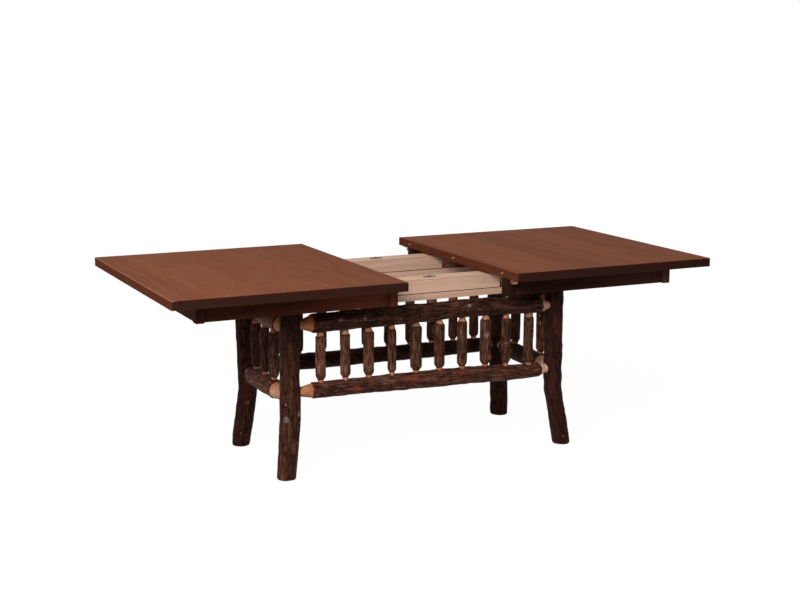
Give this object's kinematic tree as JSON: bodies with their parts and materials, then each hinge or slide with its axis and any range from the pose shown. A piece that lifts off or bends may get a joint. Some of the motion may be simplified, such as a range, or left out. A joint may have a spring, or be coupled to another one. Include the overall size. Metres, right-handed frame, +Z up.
{
  "type": "extension dining table",
  "caption": "Rustic extension table: stained plank top in two sliding halves over a hickory log base with bark, rails and spindles.",
  "frame": {"origin": "on the floor under the middle of the open table top", "axes": "+X along the table to the right, +Y away from its front, +Z up"},
  "size_m": [2.3, 1.067, 0.787],
  "materials": {
    "hickory_bark": "rough dark grey-brown bark, peeled pale ends",
    "stained_hickory": "satin reddish-brown stain",
    "pale_maple": "clear satin",
    "dowel_birch": "bare",
    "lock_brass": "plated, a little worn",
    "zinc_steel": "zinc plated"
  },
  "bodies": {
    "base": {"back_spindles": "hickory_bark", "base_screws": "zinc_steel", "bearer_left": "pale_maple", "bearer_right": "pale_maple", "front_spindle_01": "hickory_bark", "front_spindle_02": "hickory_bark", "front_spindle_03": "hickory_bark", "front_spindle_04": "hickory_bark", "front_spindle_05": "hickory_bark", "front_spindle_06": "hickory_bark", "front_spindle_07": "hickory_bark", "front_spindle_08": "hickory_bark", "front_spindle_09": "hickory_bark", "front_spindle_10": "hickory_bark", "left_spindles": "hickory_bark", "leg_back_left": "hickory_bark", "leg_back_right": "hickory_bark", "leg_front_left": "hickory_bark", "leg_front_right": "hickory_bark", "pinion_pins": "zinc_steel", "pinion_plates": "zinc_steel", "rail_back_lower": "hickory_bark", "rail_back_upper": "hickory_bark", "rail_front_lower": "hickory_bark", "rail_front_upper": "hickory_bark", "rail_left_lower": "hickory_bark", "rail_left_upper": "hickory_bark", "rail_right_lower": "hickory_bark", "rail_right_upper": "hickory_bark", "right_spindles": "hickory_bark", "slide_centre_back": "pale_maple", "slide_centre_front": "pale_maple"},
    "left_half": {"top_left": "stained_hickory", "apron_left_front": "stained_hickory", "apron_left_back": "stained_hickory", "apron_left_end": "stained_hickory", "apron_blocks_left": "stained_hickory", "slide_left_front": "pale_maple", "slide_left_back": "pale_maple", "racks_left": "zinc_steel", "cleats_left": "pale_maple", "lock_plates": "lock_brass", "screws_left": "zinc_steel"},
    "right_half": {"top_right": "stained_hickory", "apron_right_front": "stained_hickory", "apron_right_back": "stained_hickory", "apron_right_end": "stained_hickory", "apron_blocks_right": "stained_hickory", "slide_right_front": "pale_maple", "slide_right_back": "pale_maple", "racks_right": "zinc_steel", "cleats_right": "pale_maple", "lock_keepers": "lock_brass", "screws_right": "zinc_steel", "seam_dowels": "dowel_birch"},
    "front_pinion": {"pinion_front": "zinc_steel"},
    "back_pinion": {"pinion_back": "zinc_steel"},
    "front_lever": {"lock_lever_front": "lock_brass"},
    "back_lever": {"lock_lever_back": "lock_brass"}
  },
  "joints": [
    {"name": "left_half_slide", "type": "slide", "parent": "base", "child": "left_half", "axis": [1, 0, 0], "range_m": [-0.0254, 0.23525]},
    {"name": "right_half_slide", "type": "slide", "parent": "base", "child": "right_half", "axis": [-1, 0, 0], "range_m": [-0.0254, 0.23525]},
    {"name": "front_pinion_turn", "type": "hinge", "parent": "base", "child": "front_pinion", "pos_m": [0, -0.2366, 0.729], "axis": [0, 0, 1], "range_deg": [-91.96, 843.43]},
    {"name": "back_pinion_turn", "type": "hinge", "parent": "base", "child": "back_pinion", "pos_m": [0, 0.2714, 0.729], "axis": [0, 0, 1], "range_deg": [-91.96, 843.43]},
    {"name": "front_lock_turn", "type": "hinge", "parent": "left_half", "child": "front_lever", "pos_m": [-0.2505, -0.482, 0.7451], "axis": [0, 0, 1], "range_deg": [0, 180]},
    {"name": "back_lock_turn", "type": "hinge", "parent": "left_half", "child": "back_lever", "pos_m": [-0.2505, 0.482, 0.7451], "axis": [0, 0, -1], "range_deg": [0, 180]}
  ],
  "couplings": [
    {"joint": "right_half_slide", "follows": "left_half_slide", "ratio": 1},
    {"joint": "front_pinion_turn", "follows": "left_half_slide", "rad_per_m": 62.5},
    {"joint": "back_pinion_turn", "follows": "left_half_slide", "rad_per_m": 62.5}
  ]
}
